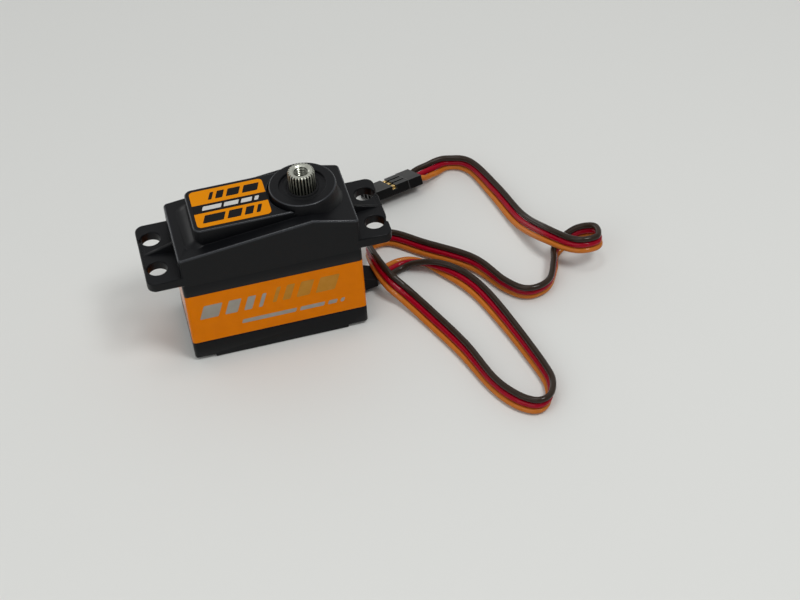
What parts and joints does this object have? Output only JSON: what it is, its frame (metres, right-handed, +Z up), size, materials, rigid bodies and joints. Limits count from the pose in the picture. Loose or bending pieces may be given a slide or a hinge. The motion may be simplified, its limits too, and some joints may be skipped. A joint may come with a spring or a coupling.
{
  "type": "servo motor",
  "caption": "Standard-size digital servo motor: black case with mounting tabs and orange labels, splined output shaft, metal gear train and a flat three-wire lead with a connector.",
  "frame": {"origin": "on the surface the case stands on, under the middle of the case and its tabs", "axes": "+X along the case to the output shaft's end, +Z up along the output shaft, +Y across the case so that the axes are right-handed"},
  "size_m": [0.1056, 0.0868, 0.0401],
  "materials": {
    "case_plastic": "fine satin moulded black",
    "label_film": "satin printed film, orange with a black band",
    "steel": "ground",
    "shaft_metal": "cut, slightly dull",
    "motor_case": "drawn",
    "magnet": "sintered, plated",
    "gear_brass": "hobbed",
    "copper": "enamelled winding",
    "contact_gold": "plated",
    "black_rubber": "matt",
    "black_resin": "matt",
    "blue_resin": "satin",
    "board_laminate": "solder mask",
    "wire_skin": "satin, brown, red and orange side by side"
  },
  "bodies": {
    "case": {"top_cover": "case_plastic", "middle_case": "case_plastic", "bottom_cover": "case_plastic", "wrap_label": "label_film", "top_label": "label_film", "case_screws": "steel", "output_seal": "black_rubber", "upper_bearing_outer": "steel", "lower_bearing_outer": "steel", "gear_pin": "steel", "gear_washers": "steel", "motor_magnet": "magnet", "motor_can": "motor_case", "motor_end_cap": "black_resin", "motor_bush": "gear_brass", "motor_terminals": "contact_gold", "motor_screws": "steel", "potentiometer_body": "blue_resin", "potentiometer_pins": "contact_gold", "circuit_board": "board_laminate", "board_chips": "black_resin", "board_capacitor": "black_resin", "inner_wires": "wire_skin", "lead_grommet": "black_rubber", "servo_lead": "wire_skin", "connector_housing": "case_plastic", "connector_terminals": "contact_gold"},
    "output": {"output_shaft": "shaft_metal", "output_gear": "shaft_metal", "output_spacer": "steel", "upper_bearing_inner": "steel", "lower_bearing_inner": "steel", "potentiometer_shaft": "steel"},
    "third": {"third_gear": "gear_brass"},
    "second": {"second_gear": "gear_brass"},
    "first": {"first_gear": "gear_brass"},
    "rotor": {"motor_pinion": "gear_brass", "motor_shaft": "steel", "motor_coil": "copper"},
    "upper_balls": {"upper_bearing_balls": "steel"},
    "lower_balls": {"lower_bearing_balls": "steel"}
  },
  "joints": [
    {"name": "output_turn", "type": "hinge", "parent": "case", "child": "output", "pos_m": [0.0101, 0, 0.025], "axis": [0, 0, 1], "range_deg": [-90, 90]},
    {"name": "third_gear_turn", "type": "hinge", "parent": "case", "child": "third", "pos_m": [-0.0007, 0, 0.025], "axis": [0, 0, 1], "range_deg": [-205, 205]},
    {"name": "second_gear_turn", "type": "hinge", "parent": "case", "child": "second", "pos_m": [0.0101, 0, 0.025], "axis": [0, 0, 1], "range_deg": [-410, 410]},
    {"name": "first_gear_turn", "type": "hinge", "parent": "case", "child": "first", "pos_m": [-0.0007, 0, 0.025], "axis": [0, 0, 1], "range_deg": [-1064, 1064]},
    {"name": "motor_turn", "type": "hinge", "parent": "case", "child": "rotor", "pos_m": [-0.0103, 0, 0.025], "axis": [0, 0, 1], "range_deg": [-4610, 4610]},
    {"name": "upper_balls_turn", "type": "hinge", "parent": "case", "child": "upper_balls", "pos_m": [0.0101, 0, 0.025], "axis": [0, 0, 1], "range_deg": [-38, 38]},
    {"name": "lower_balls_turn", "type": "hinge", "parent": "case", "child": "lower_balls", "pos_m": [0.0101, 0, 0.025], "axis": [0, 0, 1], "range_deg": [-36, 36]}
  ],
  "couplings": [
    {"joint": "third_gear_turn", "follows": "output_turn", "ratio": -2.2727},
    {"joint": "second_gear_turn", "follows": "output_turn", "ratio": 4.5455},
    {"joint": "first_gear_turn", "follows": "output_turn", "ratio": -11.818},
    {"joint": "motor_turn", "follows": "output_turn", "ratio": 51.212},
    {"joint": "upper_balls_turn", "follows": "output_turn", "ratio": 0.4175},
    {"joint": "lower_balls_turn", "follows": "output_turn", "ratio": 0.39}
  ]
}
